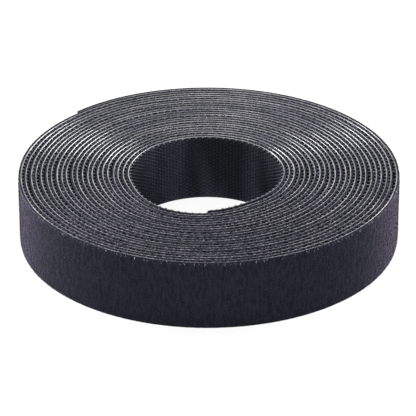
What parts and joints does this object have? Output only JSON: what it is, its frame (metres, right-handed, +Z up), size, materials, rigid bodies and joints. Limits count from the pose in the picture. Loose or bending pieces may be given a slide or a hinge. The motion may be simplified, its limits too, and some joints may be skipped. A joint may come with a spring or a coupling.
{
  "type": "hook and loop tape roll",
  "caption": "Flat coreless roll of black back-to-back hook and loop tape, loop side out, with an outer end that peels off and an inner end that curls into the bore.",
  "frame": {"origin": "on the bore's axis, in the plane that the roll lies on", "axes": "+Z up along the bore's axis, across the tape's width; -Y towards the viewer of the picture"},
  "size_m": [0.102, 0.1028, 0.019],
  "materials": {
    "nylon_film": "satin",
    "loop_fabric": "matte"
  },
  "bodies": {
    "roll": {"hook_strip_winding": "nylon_film", "loop_strip_winding": "loop_fabric"},
    "outer_end_1": {"hook_strip_outer_end_1": "nylon_film", "loop_strip_outer_end_1": "loop_fabric"},
    "outer_end_2": {"hook_strip_outer_end_2": "nylon_film", "loop_strip_outer_end_2": "loop_fabric"},
    "outer_end_3": {"hook_strip_outer_end_3": "nylon_film", "loop_strip_outer_end_3": "loop_fabric"},
    "outer_end_4": {"hook_strip_outer_end_4": "nylon_film", "loop_strip_outer_end_4": "loop_fabric"},
    "outer_end_5": {"hook_strip_outer_end_5": "nylon_film", "loop_strip_outer_end_5": "loop_fabric"},
    "outer_end_6": {"hook_strip_outer_end_6": "nylon_film", "loop_strip_outer_end_6": "loop_fabric"},
    "outer_end_7": {"hook_strip_outer_end_7": "nylon_film", "loop_strip_outer_end_7": "loop_fabric"},
    "outer_end_8": {"hook_strip_outer_end_8": "nylon_film", "loop_strip_outer_end_8": "loop_fabric"},
    "inner_end_1": {"hook_strip_inner_end_1": "nylon_film", "loop_strip_inner_end_1": "loop_fabric"},
    "inner_end_2": {"hook_strip_inner_end_2": "nylon_film", "loop_strip_inner_end_2": "loop_fabric"},
    "inner_end_3": {"hook_strip_inner_end_3": "nylon_film", "loop_strip_inner_end_3": "loop_fabric"}
  },
  "joints": [
    {"name": "outer_end_peel", "type": "hinge", "parent": "roll", "child": "outer_end_1", "pos_m": [0.04924, 0.0132, 0.0095], "axis": [0, 0, -1], "range_deg": [0, 20]},
    {"name": "outer_end_peel_2", "type": "hinge", "parent": "outer_end_1", "child": "outer_end_2", "pos_m": [0.0442, 0.02552, 0.0095], "axis": [0, 0, -1], "range_deg": [0, 20]},
    {"name": "outer_end_peel_3", "type": "hinge", "parent": "outer_end_2", "child": "outer_end_3", "pos_m": [0.03613, 0.03613, 0.0095], "axis": [0, 0, -1], "range_deg": [0, 20]},
    {"name": "outer_end_peel_4", "type": "hinge", "parent": "outer_end_3", "child": "outer_end_4", "pos_m": [0.02558, 0.0443, 0.0095], "axis": [0, 0, -1], "range_deg": [0, 20]},
    {"name": "outer_end_peel_5", "type": "hinge", "parent": "outer_end_4", "child": "outer_end_5", "pos_m": [0.01325, 0.04947, 0.0095], "axis": [0, 0, -1], "range_deg": [0, 20]},
    {"name": "outer_end_peel_6", "type": "hinge", "parent": "outer_end_5", "child": "outer_end_6", "pos_m": [0, 0.05127, 0.0095], "axis": [0, 0, -1], "range_deg": [0, 20]},
    {"name": "outer_end_peel_7", "type": "hinge", "parent": "outer_end_6", "child": "outer_end_7", "pos_m": [-0.01328, 0.04958, 0.0095], "axis": [0, 0, -1], "range_deg": [0, 20]},
    {"name": "outer_end_peel_8", "type": "hinge", "parent": "outer_end_7", "child": "outer_end_8", "pos_m": [-0.02569, 0.0445, 0.0095], "axis": [0, 0, -1], "range_deg": [0, 20]},
    {"name": "inner_end_curl", "type": "hinge", "parent": "roll", "child": "inner_end_1", "pos_m": [0.01459, -0.01459, 0.0095], "axis": [0, 0, -1], "range_deg": [0, 15]},
    {"name": "inner_end_curl_2", "type": "hinge", "parent": "inner_end_1", "child": "inner_end_2", "pos_m": [0.01042, -0.01806, 0.0095], "axis": [0, 0, -1], "range_deg": [0, 15]},
    {"name": "inner_end_curl_3", "type": "hinge", "parent": "inner_end_2", "child": "inner_end_3", "pos_m": [0.00562, -0.02097, 0.0095], "axis": [0, 0, -1], "range_deg": [0, 15]}
  ],
  "couplings": [
    {"joint": "outer_end_peel_2", "follows": "outer_end_peel", "ratio": 1},
    {"joint": "outer_end_peel_3", "follows": "outer_end_peel", "ratio": 1},
    {"joint": "outer_end_peel_4", "follows": "outer_end_peel", "ratio": 1},
    {"joint": "outer_end_peel_5", "follows": "outer_end_peel", "ratio": 1},
    {"joint": "outer_end_peel_6", "follows": "outer_end_peel", "ratio": 1},
    {"joint": "outer_end_peel_7", "follows": "outer_end_peel", "ratio": 1},
    {"joint": "outer_end_peel_8", "follows": "outer_end_peel", "ratio": 1},
    {"joint": "inner_end_curl_2", "follows": "inner_end_curl", "ratio": 1},
    {"joint": "inner_end_curl_3", "follows": "inner_end_curl", "ratio": 1}
  ]
}
